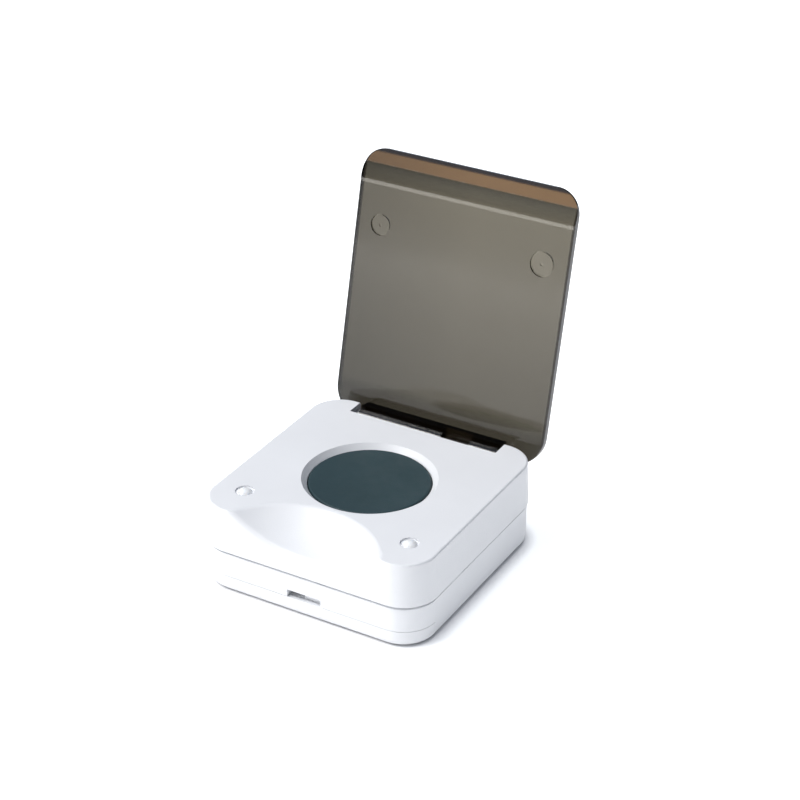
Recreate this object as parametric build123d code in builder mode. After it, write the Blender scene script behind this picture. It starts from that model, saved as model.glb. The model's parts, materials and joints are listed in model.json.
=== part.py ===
from build123d import *
import os
from math import atan, cos, degrees, radians, sin, sqrt

# Wireless push-button transmitter with a flip-up smoked safety lid.
# Millimetres. +Z up, front of the case towards -Y, underside on Z = 0.
# The lid is modelled open, as the case stands with its button uncovered.

os.makedirs("parts", exist_ok=True)

# ---------------------------------------------------------------- driving dimensions
CASE_W = 70.0                 # width over the upper case's lower edge
CASE_D = 70.5                 # depth over the same edge
CASE_H = 25.5                 # top face above the underside
CORNER_R = 10.0               # plan radius of the case corners
WALL = 2.0
TOP_T = 2.2                   # thickness of the upper case's top
TOP_INSET = 0.65              # how far the upper case tapers in at the top
TOP_FILLET = 0.6
PARTING_Z = 12.8              # lower edge of the upper case
GROOVE = 0.75                 # shadow groove between the two shells
LOWER_INSET = 0.4             # step in of the lower case
BOTTOM_FILLET = 2.2
PLATE_T = 1.8                 # back plate thickness
SKIRT_Z = 4.8                 # top of the back plate's front skirt
SKIRT_T = 1.3
SEAM = 0.12                   # gap between the skirt and the lower case
SKIRT_END_Y = -25.2           # where the skirt stops on each side
GAP = 0.2                     # fitting gap between case mouldings

BUTTON_Y = -0.25
BUTTON_R = 16.9
BUTTON_TOP = CASE_H - 1.1
WELL_R = 17.25
COUNTERSINK_R = 18.8

BUFFER_X = 25.6
BUFFER_Y = -23.4
BUFFER_R = 2.2
SOCKET_R = 1.0
SOCKET_DEPTH = 1.6

SCOOP_R = 42.0                # finger scoop: a sphere cut from the top front edge
SCOOP_Y = -46.4
SCOOP_Z = 58.5
SCOOP_SKIN = 2.0
SCOOP_RIM = 2.2               # rounding where the scoop meets the flat faces

NOTCH_X = 23.6                # half width of the hinge notch
NOTCH_Y = 28.6                # front wall of the notch
NOTCH_FLOOR = 18.5

HINGE_Y = 32.8                # lid hinge axis, along X
HINGE_Z = 21.8
LID_OPEN = 102.7              # angle of the lid above its closed position
LID_W = 67.5
LID_T = 2.5
LID_FRONT = 77.95             # from the hinge foot to the lid's free end
LID_REAR = 2.4                # from the hinge foot to the lid's rear edge
LID_FRONT_R = 7.2
LID_REAR_R = 9.3
LID_GAP = 0.3                 # closed lid above the top face
LIP_START = 68.4              # where the finger lip starts to thin
LIP_FLAT = 73.4               # where the flat of its tip begins
LIP_BEND_R = 7.0
LIP_DEPTH = 1.25
BARREL_R = 2.4
BARREL_X = 22.6
WEB_RISE = 1.2                # web between lid and barrel, further up the lid than the barrel
PIN_R = 0.8
PIN_X = 27.6
WINDOW_X0 = 4.5               # window in the barrel for the torsion spring
WINDOW_X1 = 13.5
COIL_R = 1.25                 # torsion spring, mean radius and wire
COIL_WIRE = 0.2

BOARD_Z = 15.2                # underside of the circuit board
BOARD_T = 1.6
BOARD_TOP = BOARD_Z + BOARD_T
DECK_Z0 = 2.2                 # inner floor of the lower case
DECK_Z1 = 3.8
CELL_R = 5.25                 # AAA cell
CELL_L = 44.5
CELL_Y = 5.6
CELL_Z = 8.4
SCREW_XY = 26.6               # case screw pillars
SCREW_R = 1.1                 # case screw shank
BOARD_SCREW_R = 0.9
POST_X = 29.0                 # board posts
POST_Y = 8.0
BOARD_W = 62.4
BOARD_D = 60.0
TRAY_X = 24.6                 # battery tray interior, half length and half width
TRAY_Y = 11.1
TRAY_ROOF = 13.8
TRAY_WALL = 1.2
CONTACT_T = 0.4
TERMINAL_W = 1.6              # solder tabs of the battery contacts
WALL_HOLE_X = 20.0            # wall screw holes in the back plate
WALL_HOLE_Y = 22.0
WALL_HOLE_R = 2.1
PLATE_HINGE_Y = 31.2          # the back plate tilts off about its rear tabs
PLATE_HINGE_Z = 0.9
TAB_X = 15.0
TAB_W = 6.0
TAB_R = 0.85

TAPER = degrees(atan(TOP_INSET / (CASE_H - PARTING_Z)))
HINGE_ARM = CASE_H + LID_GAP - HINGE_Z       # axis to the lid's inner face
OPEN_UP = Vector(0, -cos(radians(LID_OPEN)), sin(radians(LID_OPEN)))
OPEN_OUT = Vector(0, sin(radians(LID_OPEN)), cos(radians(LID_OPEN)))
HINGE_FOOT = Vector(0, HINGE_Y, HINGE_Z) + OPEN_OUT * HINGE_ARM

# On lid_face local +Y runs down the open lid and local +Z out of its back;
# on lid_side local +X runs up the open lid and local +Y out of its back.
lid_face = Plane(origin=HINGE_FOOT, x_dir=(1, 0, 0), z_dir=OPEN_OUT)
lid_side = Plane(origin=HINGE_FOOT, x_dir=OPEN_UP, z_dir=(-1, 0, 0))
hinge_plane = Plane(origin=(0, HINGE_Y, HINGE_Z), x_dir=(0, 1, 0), z_dir=(1, 0, 0))


def across(plane, x):
    """The plane moved to the given X, for sections square to the hinge."""
    return Plane(origin=plane.origin + Vector(x, 0, 0), x_dir=plane.x_dir, z_dir=plane.z_dir)


def finish(piece, name):
    """Label a finished piece and write its STEP file."""
    piece.part.label = name
    export_step(piece.part, f"parts/{name}.step")


# ---------------------------------------------------------------- upper case
top_face = Plane(origin=(0, SCOOP_Y, CASE_H))
front_normal = Vector(0, -cos(radians(TAPER)), sin(radians(TAPER)))
scoop_centre = Vector(0, SCOOP_Y, SCOOP_Z)
scoop_clear = (scoop_centre - Vector(0, -CASE_D / 2, PARTING_Z)).dot(front_normal)
front_face = Plane(origin=scoop_centre - front_normal * scoop_clear, x_dir=(1, 0, 0),
                   z_dir=front_normal)


def scoop_rim_cutter(face):
    """A ring that rounds the edge between the scoop's sphere and a flat face.

    The face's origin lies under the sphere's centre and its local Z leaves the case.
    """
    height = face.to_local_coords(scoop_centre).Z
    ring_r = sqrt((SCOOP_R + SCOOP_RIM) ** 2 - (height + SCOOP_RIM) ** 2)
    share = SCOOP_R / (SCOOP_R + SCOOP_RIM)
    arc_centre = Vector(ring_r, -SCOOP_RIM)
    on_face = Vector(ring_r, 0)
    on_sphere = Vector(ring_r * share, height - (height + SCOOP_RIM) * share)
    middle = ((on_sphere - arc_centre).normalized() + Vector(0, 1)).normalized()
    section = Plane(origin=face.origin, x_dir=face.x_dir, z_dir=face.x_dir.cross(face.z_dir))
    with BuildPart() as ring:
        with BuildSketch(section):
            with BuildLine():
                ThreePointArc(on_sphere, arc_centre + middle * SCOOP_RIM, on_face)
                Polyline(on_face, (ring_r, 1), (ring_r - 4, 1), (ring_r - 4, on_sphere.Y), on_sphere)
            make_face()
        revolve(axis=Axis(face.origin, face.z_dir))
    return ring


top_rim = scoop_rim_cutter(top_face)
front_rim = scoop_rim_cutter(front_face)

with BuildPart() as upper_cavity:
    with BuildSketch(Plane.XY.offset(PARTING_Z - 1)):
        RectangleRounded(CASE_W - 2 * WALL, CASE_D - 2 * WALL, CORNER_R - WALL)
    extrude(amount=CASE_H - TOP_T - PARTING_Z + 1, taper=TAPER)
    # The scoop's inner skin, and the web that closes the hinge notch
    with Locations(scoop_centre):
        Sphere(SCOOP_R + SCOOP_SKIN, mode=Mode.SUBTRACT)
    with BuildSketch(Plane.XY.offset(NOTCH_FLOOR - 1.5)):
        with Locations((0, CASE_D / 2)):
            Rectangle(CASE_W, 2 * (CASE_D / 2 - NOTCH_Y + 1.5))
    extrude(amount=CASE_H, mode=Mode.SUBTRACT)

with BuildPart() as upper_case:
    with BuildSketch(Plane.XY.offset(PARTING_Z)):
        RectangleRounded(CASE_W, CASE_D, CORNER_R)
    extrude(amount=CASE_H - PARTING_Z, taper=TAPER)
    fillet(upper_case.faces().sort_by(Axis.Z)[-1].edges(), TOP_FILLET)
    add(upper_cavity.part, mode=Mode.SUBTRACT)
    # Finger scoop across the top front edge
    with Locations(scoop_centre):
        Sphere(SCOOP_R, mode=Mode.SUBTRACT)
    add(top_rim.part, mode=Mode.SUBTRACT)
    add(front_rim.part, mode=Mode.SUBTRACT)
    # Hinge notch, open to the top and the rear
    with BuildSketch(Plane.XY.offset(NOTCH_FLOOR)):
        with Locations((0, NOTCH_Y + 10)):
            Rectangle(2 * NOTCH_X, 20)
    extrude(amount=10, mode=Mode.SUBTRACT)
    # Button well with its countersunk rim
    with Locations((0, BUTTON_Y, CASE_H)):
        CounterSinkHole(WELL_R, COUNTERSINK_R, depth=TOP_T + 0.5, counter_sink_angle=90)
    # Ring recesses and sockets of the two lid buffers
    with Locations([(side * BUFFER_X, BUFFER_Y, CASE_H) for side in (-1, 1)]):
        CounterBoreHole(SOCKET_R, BUFFER_R + 0.45, 0.5, depth=SOCKET_DEPTH)
    # Pillars for the case screws
    with BuildSketch(Plane.XY.offset(PARTING_Z)):
        with GridLocations(2 * SCREW_XY, 2 * SCREW_XY, 2, 2):
            Circle(2.6)
    extrude(amount=CASE_H - TOP_T - PARTING_Z + 0.5)
    with BuildSketch(Plane.XY.offset(PARTING_Z)):
        with GridLocations(2 * SCREW_XY, 2 * SCREW_XY, 2, 2):
            Circle(SCREW_R)
    extrude(amount=7.5, mode=Mode.SUBTRACT)
    # Blind holes in the two ears for the hinge pin
    with BuildSketch(across(hinge_plane, -PIN_X)):
        Circle(PIN_R)
    extrude(amount=2 * PIN_X, mode=Mode.SUBTRACT)
finish(upper_case, "upper_case")

# ---------------------------------------------------------------- lower case
LOWER_W = CASE_W - 2 * LOWER_INSET
LOWER_D = CASE_D - 2 * LOWER_INSET
LOWER_R = CORNER_R - LOWER_INSET
SHOULDER_Z = PARTING_Z - GROOVE
INNER_W = CASE_W - 2 * WALL - 2.2
INNER_D = CASE_D - 2 * WALL - 2.2
FRONT_Y = -LOWER_D / 2
BED_INSET = 3.8               # bed of the back plate, inside the lower case's outline
BED_W = LOWER_W - 2 * BED_INSET
BED_D = LOWER_D - 2 * BED_INSET
BED_R = LOWER_R - BED_INSET
SKIRT_CUT = SKIRT_END_Y + SEAM
SLOT_X = 5.2                  # release slot, half length
HOLE_X = -0.6                 # right end of its open part
FINGER_X = -1.9               # latch finger that stands behind the slot
FINGER_Y = FRONT_Y + 3.6


def front_part(depth_y):
    """A sketch rectangle that covers the case in front of the given Y."""
    with Locations((0, depth_y - 40)):
        return Rectangle(CASE_W + 10, 80, mode=Mode.INTERSECT)


with BuildPart() as lower_case:
    with BuildSketch():
        RectangleRounded(LOWER_W, LOWER_D, LOWER_R)
    extrude(amount=SHOULDER_Z)
    fillet(lower_case.faces().sort_by(Axis.Z)[0].edges(), BOTTOM_FILLET)
    fillet(lower_case.faces().sort_by(Axis.Z)[-1].edges(), 0.3)
    # Tongue that stands up inside the upper case
    with BuildSketch(Plane.XY.offset(SHOULDER_Z - 1)):
        RectangleRounded(CASE_W - 2 * WALL - 0.4, CASE_D - 2 * WALL - 0.4, CORNER_R - WALL - 0.2)
    extrude(amount=GROOVE + 2.0)
    # Interior above the deck
    with BuildSketch(Plane.XY.offset(DECK_Z1)):
        RectangleRounded(INNER_W, INNER_D, 7.0)
    extrude(amount=CASE_H, mode=Mode.SUBTRACT)
    # Bed of the back plate, and the front edge that its skirt replaces
    with BuildSketch():
        RectangleRounded(BED_W, BED_D, BED_R)
    extrude(amount=DECK_Z0, mode=Mode.SUBTRACT)
    with BuildSketch():
        RectangleRounded(LOWER_W + 2, LOWER_D + 2, LOWER_R + 1)
        front_part(SKIRT_CUT)
    extrude(amount=DECK_Z0, mode=Mode.SUBTRACT)
    with BuildSketch():
        RectangleRounded(LOWER_W + 2, LOWER_D + 2, LOWER_R + 1)
        RectangleRounded(LOWER_W - 2 * SKIRT_T - 0.4, LOWER_D - 2 * SKIRT_T - 0.4, LOWER_R - SKIRT_T - GAP,
                         mode=Mode.SUBTRACT)
        front_part(SKIRT_CUT)
    extrude(amount=SKIRT_Z + SEAM, mode=Mode.SUBTRACT)
    # Pockets for the back plate's rear tabs
    with BuildSketch():
        with Locations([(side * TAB_X, PLATE_HINGE_Y) for side in (-1, 1)]):
            Rectangle(TAB_W + 2 * GAP, 2.0)
    extrude(amount=DECK_Z0, mode=Mode.SUBTRACT)
    # Battery opening, clearances over the wall screws, and the latch finger's way in
    with BuildSketch(Plane.XY.offset(DECK_Z0)):
        Rectangle(50.4, 23.4)
        with Locations([(side * WALL_HOLE_X, WALL_HOLE_Y) for side in (-1, 1)]):
            Circle(5.0)
        with Locations((FINGER_X, FINGER_Y)):
            Rectangle(3.2, 2.2)
    extrude(amount=DECK_Z1 - DECK_Z0, mode=Mode.SUBTRACT)
    # Case screw tubes and board posts
    with BuildSketch(Plane.XY.offset(DECK_Z0)):
        with GridLocations(2 * SCREW_XY, 2 * SCREW_XY, 2, 2):
            Circle(3.2)
    extrude(amount=PARTING_Z - 0.1 - DECK_Z0)
    with BuildSketch(Plane.XY.offset(DECK_Z0)):
        with GridLocations(2 * POST_X, 2 * POST_Y, 2, 2):
            Circle(2.2)
    extrude(amount=BOARD_Z - DECK_Z0)
    with Locations(Plane(origin=(0, 0, DECK_Z0), z_dir=(0, 0, -1))):
        with GridLocations(2 * SCREW_XY, 2 * SCREW_XY, 2, 2):
            CounterBoreHole(SCREW_R + 0.2, 2.5, 3.4, depth=20)
    with Locations(Plane.XY.offset(BOARD_Z)):
        with GridLocations(2 * POST_X, 2 * POST_Y, 2, 2):
            Hole(BOARD_SCREW_R, depth=6.5)
    # Release slot above the skirt: open behind on the left, a shallow step on the right
    with BuildSketch(Plane.XY.offset(SKIRT_Z)):
        with Locations(((HOLE_X - SLOT_X) / 2, FRONT_Y)):
            Rectangle(SLOT_X + HOLE_X, 8)
        with Locations((0, FRONT_Y)):
            Rectangle(2 * SLOT_X, 3.2)
    extrude(amount=2.3, mode=Mode.SUBTRACT)
finish(lower_case, "lower_case")

# Foam block that closes the slot off behind the latch finger
with BuildPart() as slot_seal:
    with BuildSketch(Plane.XY.offset(DECK_Z1)):
        with Locations((FINGER_X - 1, FINGER_Y + 2)):
            Rectangle(SLOT_X + 3, 1.5)
    extrude(amount=5.4)
finish(slot_seal, "slot_seal")

# ---------------------------------------------------------------- back plate
with BuildPart() as skirt:
    with BuildSketch():
        RectangleRounded(LOWER_W, LOWER_D, LOWER_R)
    extrude(amount=SKIRT_Z)
    fillet(skirt.faces().sort_by(Axis.Z)[0].edges(), BOTTOM_FILLET)
    with BuildSketch(Plane.XY.offset(PLATE_T)):
        RectangleRounded(LOWER_W - 2 * SKIRT_T, LOWER_D - 2 * SKIRT_T, LOWER_R - SKIRT_T)
    extrude(amount=SKIRT_Z, mode=Mode.SUBTRACT)
    with BuildSketch(Plane.XY.offset(-1)):
        with Locations((0, SKIRT_END_Y + 40)):
            Rectangle(CASE_W + 10, 80)
    extrude(amount=20, mode=Mode.SUBTRACT)

LABEL_Y = -14.0

with BuildPart() as back_plate:
    with BuildSketch():
        RectangleRounded(BED_W - 2 * GAP, BED_D - 2 * GAP, BED_R - GAP)
    extrude(amount=PLATE_T)
    add(skirt.part)
    # Rear tabs, rounded about the line that the plate tilts off on
    with BuildSketch(Plane.XY.offset(PLATE_HINGE_Z - TAB_R)):
        with Locations([(side * TAB_X, PLATE_HINGE_Y - 0.5) for side in (-1, 1)]):
            Rectangle(TAB_W, 1.0)
    extrude(amount=2 * TAB_R)
    for tab_x in (-TAB_X, TAB_X):
        with BuildSketch(Plane.YZ.offset(tab_x - TAB_W / 2)):
            with Locations((PLATE_HINGE_Y, PLATE_HINGE_Z)):
                Circle(TAB_R)
        extrude(amount=TAB_W)
    # Latch finger behind the release slot
    with BuildSketch(Plane.XY.offset(PLATE_T - 0.5)):
        with Locations((FINGER_X, FINGER_Y)):
            Rectangle(2.4, 1.0)
    extrude(amount=5.2)
    # Shallow recess for the rating label, and the wall screw holes
    with BuildSketch():
        with Locations((0, LABEL_Y)):
            RectangleRounded(44, 20, 2)
    extrude(amount=0.2, mode=Mode.SUBTRACT)
    with Locations([(side * WALL_HOLE_X, WALL_HOLE_Y, PLATE_T) for side in (-1, 1)]):
        Hole(WALL_HOLE_R, depth=PLATE_T)
finish(back_plate, "back_plate")

with BuildPart() as rating_label:
    with BuildSketch(Plane.XY.offset(0.05)):
        with Locations((0, LABEL_Y)):
            RectangleRounded(43.6, 19.6, 1.8)
    extrude(amount=0.15)
finish(rating_label, "rating_label")

# ---------------------------------------------------------------- lid and hinge
BUFFER_REACH = HINGE_Y - BUFFER_Y            # buffers, measured along the lid
POCKETS = ((-BUFFER_X, 3.1), (BUFFER_X, 3.6))
POCKET_DEPTH = 0.35
POCKET_GROOVE = 0.35

with BuildPart() as flip_lid:
    with BuildSketch(lid_face) as lid_outline:
        with Locations((0, (LID_REAR - LID_FRONT) / 2)):
            Rectangle(LID_W, LID_FRONT + LID_REAR)
        fillet(lid_outline.vertices().group_by(Axis.Y)[0], LID_FRONT_R)
        fillet(lid_outline.vertices().group_by(Axis.Y)[-1], LID_REAR_R)
    extrude(amount=LID_T)
    fillet(flip_lid.faces().filter_by(lid_face).edges(), 0.4)
    # Finger lip, thinned from the inner face by a rounded slope
    with BuildSketch(across(lid_side, LID_W)):
        with BuildLine():
            slope = Polyline((LIP_START - 6, 0), (LIP_START, 0), (LIP_FLAT, LIP_DEPTH),
                             (LID_FRONT + 1, LIP_DEPTH), mode=Mode.PRIVATE)
            FilletPolyline(*slope.vertices(), radius=(LIP_BEND_R, 0.3))
            Polyline((LID_FRONT + 1, LIP_DEPTH), (LID_FRONT + 1, -1), (LIP_START - 6, -1),
                     (LIP_START - 6, 0))
        make_face()
    extrude(amount=2 * LID_W, mode=Mode.SUBTRACT)
    # Hinge barrel and the web that joins it to the lid
    with BuildSketch(across(lid_side, BARREL_X)):
        with Locations((0, -HINGE_ARM)):
            Circle(BARREL_R)
        with Locations((WEB_RISE / 2, 0.5 - HINGE_ARM / 2)):
            Rectangle(2 * BARREL_R + WEB_RISE, HINGE_ARM + 1)
    extrude(amount=2 * BARREL_X)
    # Spring window, the counterbore that takes the coil's end, and the pin bore
    with BuildSketch(across(lid_side, WINDOW_X1)):
        with Locations((0, -HINGE_ARM)):
            Rectangle(4 * BARREL_R, 4 * COIL_R - 1)
    extrude(amount=WINDOW_X1 - WINDOW_X0, mode=Mode.SUBTRACT)
    with BuildSketch(across(hinge_plane, WINDOW_X1)):
        Circle(COIL_R + 0.5)
    extrude(amount=2, mode=Mode.SUBTRACT)
    with BuildSketch(across(hinge_plane, -BARREL_X)):
        Circle(PIN_R + 0.05)
    extrude(amount=2 * BARREL_X, mode=Mode.SUBTRACT)
    # Round pockets that meet the buffers when the lid is shut, each with a fine rim groove
    for x, radius in POCKETS:
        for ring_r, depth in ((radius, POCKET_DEPTH), (0.6, POCKET_DEPTH + 0.3)):
            with BuildSketch(lid_face):
                with Locations((x, -BUFFER_REACH)):
                    Circle(ring_r)
            extrude(amount=depth, mode=Mode.SUBTRACT)
        with BuildSketch(lid_face):
            with Locations((x, -BUFFER_REACH)):
                Circle(radius)
                Circle(radius - POCKET_GROOVE, mode=Mode.SUBTRACT)
        extrude(amount=POCKET_DEPTH + 0.3, mode=Mode.SUBTRACT)
finish(flip_lid, "flip_lid")

# Dark trough that lines the notch under the barrel
TROUGH_T = 0.3
TROUGH_BACK = 34.0
with BuildPart() as hinge_trough:
    with BuildSketch(across(hinge_plane, -NOTCH_X)):
        with Locations((NOTCH_Y - HINGE_Y, NOTCH_FLOOR - HINGE_Z)):
            Rectangle(TROUGH_BACK - NOTCH_Y, TROUGH_T, align=(Align.MIN, Align.MIN))
            Rectangle(TROUGH_T, CASE_H - 0.5 - NOTCH_FLOOR, align=(Align.MIN, Align.MIN))
    extrude(amount=2 * NOTCH_X)
finish(hinge_trough, "hinge_trough")

with BuildPart() as hinge_pin:
    with BuildSketch(across(hinge_plane, -PIN_X)):
        Circle(PIN_R)
    extrude(amount=2 * PIN_X)
finish(hinge_pin, "hinge_pin")

with BuildPart() as hinge_washers:
    for x in (-NOTCH_X, BARREL_X + 0.1):
        with BuildSketch(across(hinge_plane, x)):
            Circle(BARREL_R - 0.2)
            Circle(PIN_R, mode=Mode.SUBTRACT)
        extrude(amount=NOTCH_X - BARREL_X - 0.1)
finish(hinge_washers, "hinge_washers")

# Torsion spring round the pin, one leg down on the notch floor
with BuildPart() as lid_spring:
    with BuildLine() as coil_path:
        Helix(pitch=0.62, height=WINDOW_X1 - WINDOW_X0 + 0.6, radius=COIL_R,
              center=(WINDOW_X0 + 0.5, HINGE_Y, HINGE_Z), direction=(1, 0, 0))
    with BuildSketch(Plane(origin=coil_path.line @ 0, z_dir=coil_path.line % 0)):
        Circle(COIL_WIRE)
    sweep(path=coil_path.line, is_frenet=True)
finish(lid_spring, "lid_spring")

with BuildPart() as lid_buffers:
    CAP_R = 2.83              # sphere of the dome
    DOME_TOP = CASE_H + 0.55
    with Locations([(side * BUFFER_X, BUFFER_Y, DOME_TOP - CAP_R) for side in (-1, 1)]):
        Sphere(CAP_R)
    with BuildSketch(Plane.XY.offset(CASE_H - 0.5)):
        with Locations([(side * BUFFER_X, BUFFER_Y) for side in (-1, 1)]):
            Circle(BUFFER_R)
    extrude(amount=3, mode=Mode.INTERSECT)
    with BuildSketch(Plane.XY.offset(CASE_H - SOCKET_DEPTH)):
        with Locations([(side * BUFFER_X, BUFFER_Y) for side in (-1, 1)]):
            Circle(SOCKET_R)
    extrude(amount=SOCKET_DEPTH)
finish(lid_buffers, "lid_buffers")

# ---------------------------------------------------------------- button and switch
FLANGE_R = BUTTON_R + 1.4
FLANGE_TOP = CASE_H - TOP_T - 0.1
CAP_BOTTOM = 22.1
CAP_INSIDE = 23.7             # underside of the button's face
BOSS_BOTTOM = 22.05
STEM_TOP = 22.0
STEM_R = 1.6
SWITCH_TOP = 20.3

with BuildPart() as button_cap:
    with Locations((0, BUTTON_Y, CAP_BOTTOM)):
        Cylinder(BUTTON_R, BUTTON_TOP - CAP_BOTTOM, align=(Align.CENTER, Align.CENTER, Align.MIN))
    fillet(button_cap.faces().sort_by(Axis.Z)[-1].edges(), 0.45)
    with Locations((0, BUTTON_Y, CAP_BOTTOM)):
        Cylinder(FLANGE_R, FLANGE_TOP - CAP_BOTTOM, align=(Align.CENTER, Align.CENTER, Align.MIN))
        Cylinder(BUTTON_R - 1.4, CAP_INSIDE - CAP_BOTTOM, align=(Align.CENTER, Align.CENTER, Align.MIN),
                 mode=Mode.SUBTRACT)
    # Centre boss over the switch and the ring that locates the spring
    with BuildSketch(Plane.XY.offset(BOSS_BOTTOM)):
        with Locations((0, BUTTON_Y)):
            Circle(3.0)
    extrude(amount=CAP_INSIDE - BOSS_BOTTOM + 0.3)
    with BuildSketch(Plane.XY.offset(CAP_BOTTOM + 0.4)):
        with Locations((0, BUTTON_Y)):
            Circle(6.3)
            Circle(5.3, mode=Mode.SUBTRACT)
    extrude(amount=CAP_INSIDE - CAP_BOTTOM)
finish(button_cap, "button_cap")

SPRING_R = 7.2
SPRING_WIRE = 0.35

with BuildPart() as button_spring:
    with BuildLine() as spring_path:
        spring_height = CAP_INSIDE - BOARD_TOP - 2 * SPRING_WIRE
        Helix(pitch=spring_height / 4, height=spring_height, radius=SPRING_R,
              center=(0, BUTTON_Y, BOARD_TOP + SPRING_WIRE))
    with BuildSketch(Plane(origin=spring_path.line @ 0, z_dir=spring_path.line % 0)):
        Circle(SPRING_WIRE)
    sweep(path=spring_path.line, is_frenet=True)
finish(button_spring, "button_spring")

with BuildPart() as switch_body:
    with BuildSketch(Plane.XY.offset(BOARD_TOP)):
        with Locations((0, BUTTON_Y)):
            RectangleRounded(6.2, 6.2, 0.5)
    extrude(amount=SWITCH_TOP - BOARD_TOP)
    with Locations((0, BUTTON_Y, SWITCH_TOP)):
        Hole(STEM_R + 0.05, depth=2.8)
    # Four legs that lie on the board
    with BuildSketch(Plane.XY.offset(BOARD_TOP)):
        with Locations((0, BUTTON_Y)):
            with GridLocations(7.6, 4.4, 2, 2):
                Rectangle(1.6, 0.7)
    extrude(amount=0.3)
finish(switch_body, "switch_body")

with BuildPart() as switch_stem:
    with Locations((0, BUTTON_Y, SWITCH_TOP - 1.4)):
        Cylinder(STEM_R, STEM_TOP - SWITCH_TOP + 1.4, align=(Align.CENTER, Align.CENTER, Align.MIN))
    fillet(switch_stem.faces().sort_by(Axis.Z)[-1].edges(), 0.3)
finish(switch_stem, "switch_stem")

# ---------------------------------------------------------------- circuit board
MODULE_X, MODULE_Y = 14.0, 23.0
CHIP_X, CHIP_Y = -15.0, -13.0
ANTENNA_Y = 23.6
ANTENNA_R = 1.9
ANTENNA_X0, ANTENNA_X1 = -20.0, -4.0
ANTENNA_WIRE = 0.35
ANTENNA_Z = BOARD_TOP + ANTENNA_R + ANTENNA_WIRE
TERMINALS = [(TRAY_X - CONTACT_T / 2, side * CELL_Y) for side in (-1, 1)]

with BuildPart() as main_board:
    with BuildSketch(Plane.XY.offset(BOARD_Z)):
        RectangleRounded(BOARD_W, BOARD_D, 2)
        with GridLocations(2 * SCREW_XY, 2 * SCREW_XY, 2, 2):
            Circle(3.4, mode=Mode.SUBTRACT)
        with GridLocations(BOARD_W, BOARD_D, 2, 2):
            Rectangle(9.2, 6.8, mode=Mode.SUBTRACT)
        with GridLocations(2 * POST_X, 2 * POST_Y, 2, 2):
            Circle(BOARD_SCREW_R + 0.2, mode=Mode.SUBTRACT)
        with Locations(TERMINALS):
            Rectangle(CONTACT_T + 0.3, TERMINAL_W + 0.3, mode=Mode.SUBTRACT)
    extrude(amount=BOARD_T)
finish(main_board, "main_board")

with BuildPart() as radio_module:
    with BuildSketch(Plane.XY.offset(BOARD_TOP)):
        with Locations((MODULE_X, MODULE_Y)):
            Rectangle(16, 7.4)
    extrude(amount=0.8)
finish(radio_module, "radio_module")

with BuildPart() as radio_shield:
    with BuildSketch(Plane.XY.offset(BOARD_TOP + 0.8)):
        with Locations((MODULE_X + 1.5, MODULE_Y)):
            RectangleRounded(10.5, 6.4, 0.5)
    extrude(amount=1.8)
    fillet(radio_shield.faces().sort_by(Axis.Z)[-1].edges(), 0.3)
finish(radio_shield, "radio_shield")

# Coil antenna lying along the board's rear edge
with BuildPart() as helical_antenna:
    with BuildLine() as antenna_path:
        Helix(pitch=1.6, height=ANTENNA_X1 - ANTENNA_X0, radius=ANTENNA_R,
              center=(ANTENNA_X0, ANTENNA_Y, ANTENNA_Z), direction=(1, 0, 0))
    with BuildSketch(Plane(origin=antenna_path.line @ 0, z_dir=antenna_path.line % 0)):
        Circle(ANTENNA_WIRE)
    sweep(path=antenna_path.line, is_frenet=True)
finish(helical_antenna, "helical_antenna")

with BuildPart() as microcontroller:
    with BuildSketch(Plane.XY.offset(BOARD_TOP + 0.1)):
        with Locations((CHIP_X, CHIP_Y)):
            Rectangle(7, 7)
    extrude(amount=1.1)
    chamfer(microcontroller.faces().sort_by(Axis.Z)[-1].edges(), 0.25)
    with BuildSketch(Plane.XY.offset(BOARD_TOP)):
        with Locations((CHIP_X, CHIP_Y)):
            with GridLocations(0.8, 8.0, 8, 2):
                Rectangle(0.35, 1.6)
            with GridLocations(8.0, 0.8, 2, 8):
                Rectangle(1.6, 0.35)
    extrude(amount=0.2)
finish(microcontroller, "microcontroller")

with BuildPart() as crystal:
    with BuildSketch(Plane.XY.offset(BOARD_TOP)):
        with Locations((CHIP_X - 8.5, CHIP_Y)):
            SlotCenterToCenter(5.0, 4.2, rotation=90)
    extrude(amount=2.4)
    fillet(crystal.faces().sort_by(Axis.Z)[-1].edges(), 0.4)
finish(crystal, "crystal")

with BuildPart() as chip_parts:
    with BuildSketch(Plane.XY.offset(BOARD_TOP)):
        with Locations((15.5, -16)):
            with GridLocations(3.4, 2.6, 4, 4):
                Rectangle(1.6, 0.8)
        with Locations((CHIP_X + 9.5, CHIP_Y - 4)):
            with GridLocations(2.2, 3.0, 2, 3):
                Rectangle(0.8, 1.6)
    extrude(amount=0.7)
finish(chip_parts, "chip_parts")

# ---------------------------------------------------------------- batteries
TRAY_W = 2 * (TRAY_X + TRAY_WALL)
TRAY_D = 2 * (TRAY_Y + TRAY_WALL)
SPRING_ROOM = 2 * TRAY_X - CELL_L - 2 * CONTACT_T
CELL_END = TRAY_X - CONTACT_T - 0.02         # where each cell's nub stops
NUB_L = 0.8

with BuildPart() as battery_tray:
    with BuildSketch(Plane.XY.offset(DECK_Z1)):
        RectangleRounded(TRAY_W, TRAY_D, 1.5)
    extrude(amount=TRAY_ROOF + 1 - DECK_Z1)
    with BuildSketch(Plane.XY.offset(DECK_Z1)):
        Rectangle(2 * TRAY_X, 2 * TRAY_Y)
    extrude(amount=TRAY_ROOF - DECK_Z1, mode=Mode.SUBTRACT)
    with BuildSketch(Plane.XY.offset(TRAY_ROOF)):
        with Locations(TERMINALS):
            Rectangle(CONTACT_T + 0.3, TERMINAL_W + 0.3)
    extrude(amount=1, mode=Mode.SUBTRACT)
finish(battery_tray, "battery_tray")

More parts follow.
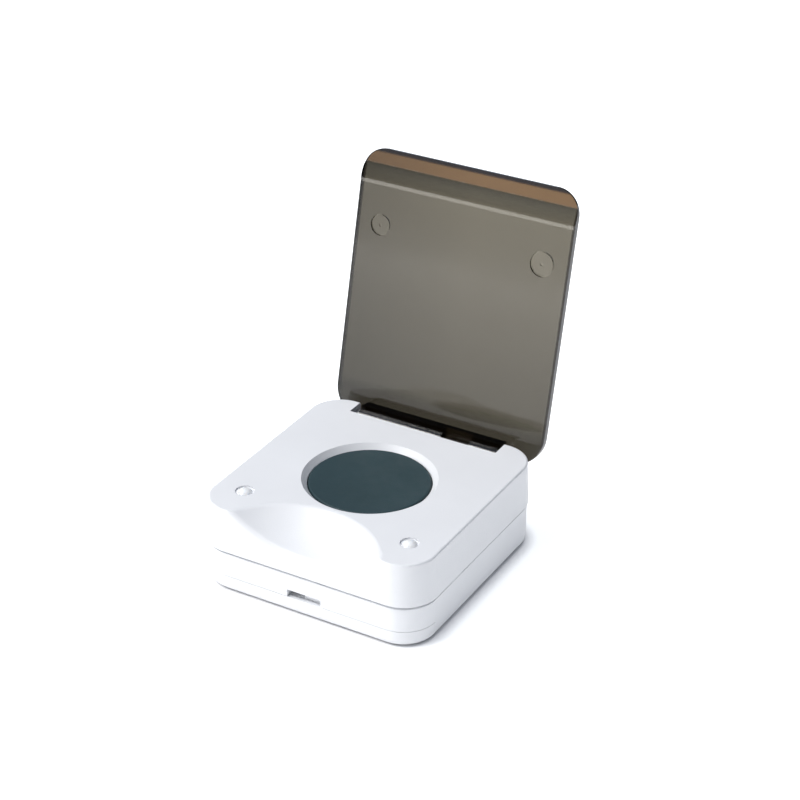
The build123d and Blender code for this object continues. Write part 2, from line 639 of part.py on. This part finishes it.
with BuildPart() as battery_cells:
    for side in (-1, 1):
        with BuildSketch(Plane(origin=(side * CELL_END, side * CELL_Y, CELL_Z), z_dir=(-side, 0, 0))):
            Circle(1.9)
        extrude(amount=NUB_L + 0.5)
        with BuildSketch(Plane(origin=(side * (CELL_END - NUB_L), side * CELL_Y, CELL_Z),
                               z_dir=(-side, 0, 0))):
            Circle(CELL_R)
        extrude(amount=CELL_L - NUB_L)
finish(battery_cells, "battery_cells")

with BuildPart() as battery_springs:
    for side in (-1, 1):
        with BuildLine() as cell_spring_path:
            Helix(pitch=1.0, height=SPRING_ROOM - 0.7, radius=2.6,
                  center=(-side * (TRAY_X - CONTACT_T - 0.3), side * CELL_Y, CELL_Z),
                  direction=(side, 0, 0))
        with BuildSketch(Plane(origin=cell_spring_path.line @ 0, z_dir=cell_spring_path.line % 0)):
            Circle(0.25)
        sweep(path=cell_spring_path.line, is_frenet=True)
finish(battery_springs, "battery_springs")

# One bridging plate at the left, two with solder tabs at the right
with BuildPart() as battery_contacts:
    with BuildSketch(Plane.YZ.offset(-TRAY_X)):
        with Locations((0, CELL_Z)):
            RectangleRounded(2 * CELL_Y + 8, 8, 1)
    extrude(amount=CONTACT_T)
    with BuildSketch(Plane.YZ.offset(TRAY_X - CONTACT_T)):
        with Locations([(side * CELL_Y, CELL_Z) for side in (-1, 1)]):
            RectangleRounded(8, 8, 1)
    extrude(amount=CONTACT_T)
    with BuildSketch(Plane.XY.offset(CELL_Z)):
        with Locations(TERMINALS):
            Rectangle(CONTACT_T, TERMINAL_W)
    extrude(amount=BOARD_TOP + 0.6 - CELL_Z)
finish(battery_contacts, "battery_contacts")

# ---------------------------------------------------------------- screws
def pan_screws(places, head_z, head_r, head_h, shank_r, shank_l, up):
    """Pan-head screws with a cross recess; up is +1 if the shank points up."""
    with BuildPart() as screws:
        for x, y in places:
            seat = Plane(origin=(x, y, head_z), z_dir=(0, 0, up))
            with BuildSketch(seat):
                Circle(head_r)
            extrude(amount=-head_h)
            with BuildSketch(seat):
                Circle(shank_r)
            extrude(amount=shank_l)
            with BuildSketch(Plane(origin=(x, y, head_z - up * head_h), z_dir=(0, 0, up))):
                Rectangle(1.3 * head_r, 0.25 * head_r)
                Rectangle(0.25 * head_r, 1.3 * head_r)
            extrude(amount=0.45 * head_h, mode=Mode.SUBTRACT)
    return screws


case_screw_places = [(x, y) for x in (-SCREW_XY, SCREW_XY) for y in (-SCREW_XY, SCREW_XY)]
board_screw_places = [(x, y) for x in (-POST_X, POST_X) for y in (-POST_Y, POST_Y)]
case_screws = pan_screws(case_screw_places, DECK_Z0 + 3.4, 2.2, 1.8, SCREW_R, 14.0, 1)
board_screws = pan_screws(board_screw_places, BOARD_TOP, 1.7, 1.2, BOARD_SCREW_R, 7.0, -1)
finish(case_screws, "case_screws")
finish(board_screws, "board_screws")
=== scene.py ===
import bpy
import json
from math import cos, radians, sin
from mathutils import Matrix, Vector

# Wireless push-button transmitter with a flip-up smoked lid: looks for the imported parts. Metres.

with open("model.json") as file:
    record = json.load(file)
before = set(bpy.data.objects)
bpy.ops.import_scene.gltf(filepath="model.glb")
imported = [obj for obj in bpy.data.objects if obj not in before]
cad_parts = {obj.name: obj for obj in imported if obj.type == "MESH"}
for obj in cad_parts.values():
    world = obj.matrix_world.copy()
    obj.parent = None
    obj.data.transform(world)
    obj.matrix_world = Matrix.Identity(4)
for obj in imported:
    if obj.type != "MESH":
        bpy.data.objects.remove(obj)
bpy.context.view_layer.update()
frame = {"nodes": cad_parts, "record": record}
nodes = frame["nodes"]
scene = bpy.context.scene
scene.view_settings.view_transform = "Standard"

# ---------------------------------------------------------------- camera
CAMERA_AZIMUTH = radians(29.51)      # to the right of the front
CAMERA_ELEVATION = radians(29.12)
CAMERA_ROLL = radians(0.50)
CAMERA_DISTANCE = 0.5821
CAMERA_LENS = 95.42
CAMERA_AIM = Vector((0, 0, 0.020))   # before the two slides across the view
CAMERA_SLIDE_RIGHT = 0.00815
CAMERA_SLIDE_UP = 0.02578


def make_camera():
    """The photograph's camera: turned about its aim, then slid across its own view."""
    back = Vector((sin(CAMERA_AZIMUTH) * cos(CAMERA_ELEVATION),
                   -cos(CAMERA_AZIMUTH) * cos(CAMERA_ELEVATION),
                   sin(CAMERA_ELEVATION)))
    level = Vector((cos(CAMERA_AZIMUTH), sin(CAMERA_AZIMUTH), 0))
    upright = back.cross(level)
    right = level * cos(CAMERA_ROLL) + upright * sin(CAMERA_ROLL)
    up = upright * cos(CAMERA_ROLL) - level * sin(CAMERA_ROLL)
    place = CAMERA_AIM + back * CAMERA_DISTANCE + right * CAMERA_SLIDE_RIGHT + up * CAMERA_SLIDE_UP
    data = bpy.data.cameras.new("camera")
    data.lens = CAMERA_LENS
    data.sensor_width = 36
    data.clip_start = 0.01
    camera = bpy.data.objects.new("camera", data)
    camera.matrix_world = Matrix((
        (right.x, up.x, back.x, place.x),
        (right.y, up.y, back.y, place.y),
        (right.z, up.z, back.z, place.z),
        (0, 0, 0, 1)))
    scene.collection.objects.link(camera)
    scene.camera = camera


# ---------------------------------------------------------------- stage
FLOOR_HALF = 8.0
FLOOR_WHITE = (0.80, 0.80, 0.81, 1)
FLOOR_GLOW = (0.97, 0.99, 1.0, 1)
GLOW_STRENGTH = 0.74
SHADOW_REACH = 0.006                 # the floor looks this far for what stands on it
NO_GLOW, FULL_GLOW = 0.40, 0.88      # how open its surroundings have to be


def make_stage():
    """A white light table: a floor that glows, with a painted contact shadow where its glow dims right
    beside what stands on it.
    """
    data = bpy.data.meshes.new("floor")
    corners = [(-FLOOR_HALF, -FLOOR_HALF, 0), (FLOOR_HALF, -FLOOR_HALF, 0),
               (FLOOR_HALF, FLOOR_HALF, 0), (-FLOOR_HALF, FLOOR_HALF, 0)]
    data.from_pydata(corners, [], [(0, 1, 2, 3)])
    floor = bpy.data.objects.new("floor", data)
    scene.collection.objects.link(floor)
    material, tree, shader = new_material("floor_white")
    shader.inputs["Base Color"].default_value = FLOOR_WHITE
    shader.inputs["Roughness"].default_value = 0.9
    shader.inputs["Emission Color"].default_value = FLOOR_GLOW
    # Painted contact shadow: the glow is dimmed wherever ambient occlusion finds something close by
    contact_shadow_mask = tree.nodes.new("ShaderNodeAmbientOcclusion")
    contact_shadow_mask.inputs["Distance"].default_value = SHADOW_REACH
    glow = between(tree, contact_shadow_mask.outputs["AO"], 0.0, GLOW_STRENGTH, NO_GLOW, FULL_GLOW)
    tree.links.new(glow, shader.inputs["Emission Strength"])
    data.materials.append(material)


# Studio walls by height, as (sine of the elevation, brightness): dark low down, where the lid's bevel
# mirrors them, under a soft ceiling
STUDIO_BANDS = ((0.0, 0.95), (0.02, 0.11), (0.48, 0.11), (0.66, 0.60), (1.0, 0.70))
AMBIENT_TINT = (0.88, 0.96, 1.13)
RIGHT_WALL_SHADE = 0.35              # the right-hand wall's share of the left-hand one
SHADE_START, SHADE_END = -0.2, 0.8   # where that shade comes in, -1 being left and 1 right


def make_world():
    """Studio surroundings: banded by height and shaded towards the right."""
    world = bpy.data.worlds.new("studio")
    scene.world = world
    world.use_nodes = True
    tree = world.node_tree
    shader = tree.nodes["Background"]
    coords = tree.nodes.new("ShaderNodeTexCoord")
    split = tree.nodes.new("ShaderNodeSeparateXYZ")
    bands = tree.nodes.new("ShaderNodeValToRGB")
    fill_ramp(bands, [(height, [level * tint for tint in AMBIENT_TINT]) for height, level in STUDIO_BANDS])
    tree.links.new(coords.outputs["Generated"], split.inputs["Vector"])
    tree.links.new(split.outputs["Z"], bands.inputs["Fac"])
    tree.links.new(bands.outputs["Color"], shader.inputs["Color"])
    strength = between(tree, split.outputs["X"], 1.0, RIGHT_WALL_SHADE, SHADE_START, SHADE_END)
    tree.links.new(strength, shader.inputs["Strength"])


def area_light(name, place, target, size, power, colour):
    """A rectangular lamp that faces its target and isn't seen itself."""
    data = bpy.data.lights.new(name, "AREA")
    data.shape = "RECTANGLE"
    data.size, data.size_y = size
    data.energy = power
    data.color = colour
    light = bpy.data.objects.new(name, data)
    light.location = place
    light.rotation_euler = (Vector(target) - Vector(place)).to_track_quat("-Z", "Y").to_euler()
    light.visible_camera = False
    scene.collection.objects.link(light)


# ---------------------------------------------------------------- shader helpers
def new_material(name):
    """A material with an empty principled shader: (material, node tree, shader)."""
    material = bpy.data.materials.new(name)
    material.use_nodes = True
    tree = material.node_tree
    return material, tree, tree.nodes["Principled BSDF"]


def fill_ramp(ramp, stops):
    """Set a colour ramp's stops, each (position, (r, g, b))."""
    points = ramp.color_ramp.elements
    while len(points) < len(stops):
        points.new(0.5)
    for point, (position, colour) in zip(points, stops):
        point.position = position
        point.color = (*colour, 1)


def ramp(tree, source, stops):
    """Turn a 0...1 value into colours."""
    node = tree.nodes.new("ShaderNodeValToRGB")
    fill_ramp(node, stops)
    tree.links.new(source, node.inputs["Fac"])
    return node.outputs["Color"]


def object_coords(tree, stretch=(1, 1, 1)):
    """The object's own metres, scaled per axis."""
    coords = tree.nodes.new("ShaderNodeTexCoord")
    mapping = tree.nodes.new("ShaderNodeMapping")
    mapping.inputs["Scale"].default_value = stretch
    tree.links.new(coords.outputs["Object"], mapping.inputs["Vector"])
    return mapping.outputs["Vector"]


def noise(tree, scale, stretch=(1, 1, 1), detail=3.0):
    """Clouds of about 1/scale metres, as a 0...1 value."""
    node = tree.nodes.new("ShaderNodeTexNoise")
    node.inputs["Scale"].default_value = scale
    node.inputs["Detail"].default_value = detail
    tree.links.new(object_coords(tree, stretch), node.inputs["Vector"])
    return node.outputs["Fac"]


def between(tree, source, low, high, start=0.3, end=0.7):
    """Map a source of start...end onto low...high."""
    node = tree.nodes.new("ShaderNodeMapRange")
    node.inputs["From Min"].default_value = start
    node.inputs["From Max"].default_value = end
    node.inputs["To Min"].default_value = low
    node.inputs["To Max"].default_value = high
    tree.links.new(source, node.inputs["Value"])
    return node.outputs["Result"]


def mixed(tree, blend_type, first, second, factor=1.0):
    """Blend two colours; each colour and the factor may be a socket or a value."""
    node = tree.nodes.new("ShaderNodeMixRGB")
    node.blend_type = blend_type
    for name, source in (("Color1", first), ("Color2", second), ("Fac", factor)):
        if isinstance(source, bpy.types.NodeSocket):
            tree.links.new(source, node.inputs[name])
        else:
            node.inputs[name].default_value = source
    return node.outputs["Color"]


def shade(colour, factor):
    """A colour made darker or lighter."""
    return tuple(min(channel * factor, 1.0) for channel in colour)


def bump(tree, shader, height, distance):
    """Relief on the surface: a 0...1 height, in steps of the distance."""
    node = tree.nodes.new("ShaderNodeBump")
    node.inputs["Distance"].default_value = distance
    tree.links.new(height, node.inputs["Height"])
    tree.links.new(node.outputs["Normal"], shader.inputs["Normal"])


# ---------------------------------------------------------------- materials
def moulded(name, colour, roughness, variation=0.015, grain=2600, grain_depth=0.00002, specular=0.5):
    """Moulded plastic: faint flow clouds, uneven gloss and a fine spark-eroded grain."""
    material, tree, shader = new_material(name)
    clouds = ramp(tree, noise(tree, 45), (
        (0.35, shade(colour, 1 - variation)), (0.65, shade(colour, 1 + variation))))
    tree.links.new(clouds, shader.inputs["Base Color"])
    gloss = between(tree, noise(tree, 260), roughness - 0.04, roughness + 0.05)
    tree.links.new(gloss, shader.inputs["Roughness"])
    shader.inputs["Specular IOR Level"].default_value = specular
    bump(tree, shader, noise(tree, grain, detail=1.0), grain_depth)
    return material


def metal(name, colour, roughness, stretch=(1, 1, 1), scratch=1400, depth=0.000004, variation=0.12):
    """Bare or plated metal: drawn or brushed streaks, along the axis with the small stretch."""
    material, tree, shader = new_material(name)
    streaks = noise(tree, scratch, stretch, detail=4.0)
    tone = ramp(tree, streaks, ((0.3, shade(colour, 1 - variation)), (0.7, shade(colour, 1 + variation))))
    tree.links.new(tone, shader.inputs["Base Color"])
    tree.links.new(between(tree, streaks, roughness - 0.06, roughness + 0.1), shader.inputs["Roughness"])
    shader.inputs["Metallic"].default_value = 1.0
    bump(tree, shader, streaks, depth)
    return material


# Smoked lid. The tint is partly on its two faces and partly in its depth, so edges go nearly black, and
# painted shade darkens its cut edges and lip end further.
# Places on it are told by how far up the lid from the hinge they lie, and how far out of its inner face.
hinge = next(joint for joint in frame["record"]["behaviour"]["joints"] if joint["name"] == "lid_hinge")
lid_points = [vertex.co for vertex in nodes["flip_lid"].data.vertices]
LID_OPEN = radians(hinge["range_deg"][1])
LID_UP = Vector((0, -cos(LID_OPEN), sin(LID_OPEN)))
LID_OUT = Vector((0, sin(LID_OPEN), cos(LID_OPEN)))
LID_STANDOFF = 0.004                         # from the hinge's axis out to the sheet's inner face
LID_FOOT = Vector(hinge["pos_m"]) + LID_STANDOFF * LID_OUT
LID_LENGTH = max(point.dot(LID_UP) for point in lid_points) - LID_FOOT.dot(LID_UP)
LID_WIDTH = 2 * max(point.x for point in lid_points)
LIP_START = 0.0734 / LID_LENGTH              # where the finger lip's thin flat begins
LID_TINT = (0.58, 0.55, 0.465)
# The lip's tan: partly its thinner tint, partly a painted reflection of warm surroundings
LIP_TINT_AND_REFLECTION = (0.34, 0.20, 0.09)
# Painted shade on the lip's end face and at the cut edges
LIP_END_PAINTED_SHADE = (0.030, 0.020, 0.016)
EDGE_PAINTED_SHADE = (0.05, 0.04, 0.035)
# Painted shade on the hinge barrel and its web, for the dark hinge notch
BARREL_PAINTED_SHADE = (0.075, 0.055, 0.040, 1)
LID_ABSORPTION = (640, 668, 730)             # per metre
# Depth of tint up the sheet, as (share of its length, share of the tint), with painted light in it:
# painted shade darkens its foot and lower part, a painted highlight beside the strip lamp's real
# reflection is brightest under the bevel, and painted shade beside the mirrored dark walls darkens the
# bevel again
TINT_AND_PAINTED_LIGHT_UP = ((0.0, 0.30), (0.085, 0.32), (0.13, 0.58), (0.45, 0.80), (0.872, 1.15), (0.885, 0.70),
           (LIP_START - 0.002, 0.22))
LIP_STOPS = ((LIP_START, LIP_TINT_AND_REFLECTION), (0.982, LIP_TINT_AND_REFLECTION), (0.986, LIP_END_PAINTED_SHADE))
# From left to right between the cut edges, as (share of the width, share of the tint): darker towards the
# left end
EDGE = 0.0005 / LID_WIDTH
DARKENING_ACROSS = ((1.5 * EDGE, 0.68), (0.30, 0.85), (0.55, 1.0), (1 - 1.5 * EDGE, 1.0))


def lid_measure(tree, direction, start, end):
    """Distance from the hinge foot along a direction, mapped from start...end to 0...1."""
    reach = tree.nodes.new("ShaderNodeVectorMath")
    reach.operation = "DOT_PRODUCT"
    reach.inputs[1].default_value = direction
    tree.links.new(object_coords(tree), reach.inputs[0])
    foot = LID_FOOT.dot(direction)
    return between(tree, reach.outputs["Value"], 0.0, 1.0, foot + start, foot + end)


def smoke():
    """Smoked polycarbonate: painted shade low on the sheet, on the bevel, at its cut edges and on the
    hinge barrel, a painted highlight under the bevel, darker towards the left end, and tan through the
    thin lip, partly a painted reflection.
    """
    material, tree, shader = new_material("smoked_polycarbonate")
    # Up the sheet: tint with painted shade and a painted highlight, then the lip's stops
    upward_tint_and_painted_light = ramp(tree, lid_measure(tree, LID_UP, 0, LID_LENGTH), (
        *((reach, shade(LID_TINT, share)) for reach, share in TINT_AND_PAINTED_LIGHT_UP), *LIP_STOPS))
    side = LID_WIDTH / 2
    # Across: painted shade at the cut edges, and darker towards the left end between them
    sideways = ramp(tree, lid_measure(tree, Vector((1, 0, 0)), -side, side), (
        (0.0, EDGE_PAINTED_SHADE), (EDGE, EDGE_PAINTED_SHADE),
        *((reach, (share, share, share)) for reach, share in DARKENING_ACROSS),
        (1 - EDGE, EDGE_PAINTED_SHADE)))
    # The barrel and its web stand inside the sheet's inner face; they get painted shade for the dark hinge
    # notch
    sheet = mixed(tree, "MULTIPLY", upward_tint_and_painted_light, sideways)
    inside = lid_measure(tree, LID_OUT, -0.0003, -0.0001)
    tree.links.new(mixed(tree, "MIX", BARREL_PAINTED_SHADE, sheet, inside), shader.inputs["Base Color"])
    tree.links.new(between(tree, noise(tree, 90), 0.04, 0.09), shader.inputs["Roughness"])
    shader.inputs["Transmission Weight"].default_value = 1.0
    shader.inputs["IOR"].default_value = 1.5
    bump(tree, shader, noise(tree, 35, detail=1.0), 0.000006)
    depth = tree.nodes.new("ShaderNodeVolumeAbsorption")
    density = max(LID_ABSORPTION)
    depth.inputs["Density"].default_value = density
    depth.inputs["Color"].default_value = (*(1 - rate / density for rate in LID_ABSORPTION), 1)
    tree.links.new(depth.outputs["Volume"], tree.nodes["Material Output"].inputs["Volume"])
    return material


def board():
    """Green solder mask over a rough pattern of copper tracks."""
    material, tree, shader = new_material("board_green")
    tracks = tree.nodes.new("ShaderNodeTexBrick")
    tracks.inputs["Scale"].default_value = 90
    tracks.inputs["Mortar Size"].default_value = 0.03
    tracks.inputs["Color1"].default_value = (0.010, 0.085, 0.035, 1)
    tracks.inputs["Color2"].default_value = (0.012, 0.105, 0.045, 1)
    tracks.inputs["Mortar"].default_value = (0.035, 0.20, 0.075, 1)
    tree.links.new(object_coords(tree), tracks.inputs["Vector"])
    tree.links.new(tracks.outputs["Color"], shader.inputs["Base Color"])
    tree.links.new(between(tree, noise(tree, 300), 0.22, 0.38), shader.inputs["Roughness"])
    bump(tree, shader, tracks.outputs["Fac"], 0.00003)
    return material


CELL_FILM = (0.030, 0.035, 0.050)
CELL_BAND = (0.62, 0.42, 0.16)
CELL_CAN = (0.55, 0.55, 0.56)
CELL_REACH = 0.025                           # past the cell's end, from its middle


def cell_sleeve():
    """Shrink-wrapped cell: dark film with a pale band round each end."""
    material, tree, shader = new_material("cell_sleeve")
    split = tree.nodes.new("ShaderNodeSeparateXYZ")
    tree.links.new(object_coords(tree), split.inputs["Vector"])
    reach = tree.nodes.new("ShaderNodeMath")
    reach.operation = "ABSOLUTE"
    tree.links.new(split.outputs["X"], reach.inputs[0])
    share = between(tree, reach.outputs["Value"], 0.0, 1.0, 0.0, CELL_REACH)
    film = ramp(tree, share, (
        (0.0, CELL_FILM), (0.58, CELL_FILM), (0.60, CELL_BAND), (0.92, CELL_BAND), (0.94, CELL_CAN)))
    tree.links.new(film, shader.inputs["Base Color"])
    tree.links.new(between(tree, noise(tree, 400), 0.2, 0.34), shader.inputs["Roughness"])
    return material


def buffer():
    """Soft white elastomer with a waxy skin."""
    material = moulded("buffer_white", (0.86, 0.87, 0.88), 0.16, grain=1500, grain_depth=0.000006)
    shader = material.node_tree.nodes["Principled BSDF"]
    shader.inputs["Subsurface Weight"].default_value = 0.25
    shader.inputs["Subsurface Radius"].default_value = (1.0, 0.9, 0.8)
    shader.inputs["Subsurface Scale"].default_value = 0.001
    return material


MATERIALS = {
    "case_white": moulded("case_white", (0.76, 0.77, 0.79), 0.40),
    "label_silver": metal("label_silver", (0.62, 0.62, 0.63), 0.38, stretch=(0.03, 1, 1)),
    "lid_smoke": smoke(),
    "steel": metal("steel", (0.58, 0.57, 0.56), 0.27, stretch=(0.1, 1, 1)),
    "spring_dark": metal("spring_dark", (0.10, 0.085, 0.07), 0.35, stretch=(0.1, 1, 1)),
    "buffer_white": buffer(),
    "button_slate": moulded("button_slate", (0.026, 0.050, 0.058), 0.48, variation=0.06, grain=2200,
                            specular=0.22),
    "switch_black": moulded("switch_black", (0.010, 0.010, 0.011), 0.50, variation=0.15),
    "stem_red": moulded("stem_red", (0.42, 0.020, 0.016), 0.38, variation=0.06),
    "board_green": board(),
    "tin": metal("tin", (0.66, 0.66, 0.65), 0.33, scratch=700),
    "copper": metal("copper", (0.72, 0.36, 0.22), 0.28, stretch=(1, 0.2, 0.2)),
    "chip_ceramic": moulded("chip_ceramic", (0.028, 0.028, 0.030), 0.55, variation=0.12, grain=3400),
    "tray_grey": moulded("tray_grey", (0.11, 0.115, 0.12), 0.48, variation=0.05),
    "cell_sleeve": cell_sleeve(),
    "nickel": metal("nickel", (0.60, 0.58, 0.53), 0.24, stretch=(1, 1, 0.08)),
}

make_camera()
make_world()
make_stage()
area_light("key", place=(-1.00, -0.70, 1.70), target=(0, 0, 0.02), size=(1.0, 1.0), power=41,
           colour=(1.0, 0.985, 0.96))
# Low strip in front on the left: the lid's bevel mirrors it as one bright line
area_light("strip", place=(-0.65, -1.34, 0.33), target=(0, 0, 0.08), size=(0.9, 0.32), power=3.8,
           colour=(1.0, 0.98, 0.94))

slot_of = {row["node"]: row["material_slot"] for row in frame["record"]["subparts"]}
for name, node in nodes.items():
    node.data.materials.clear()
    node.data.materials.append(MATERIALS[slot_of[name]])
nodes["flip_lid"].visible_shadow = False     # light passes the clear lid onto what it covers
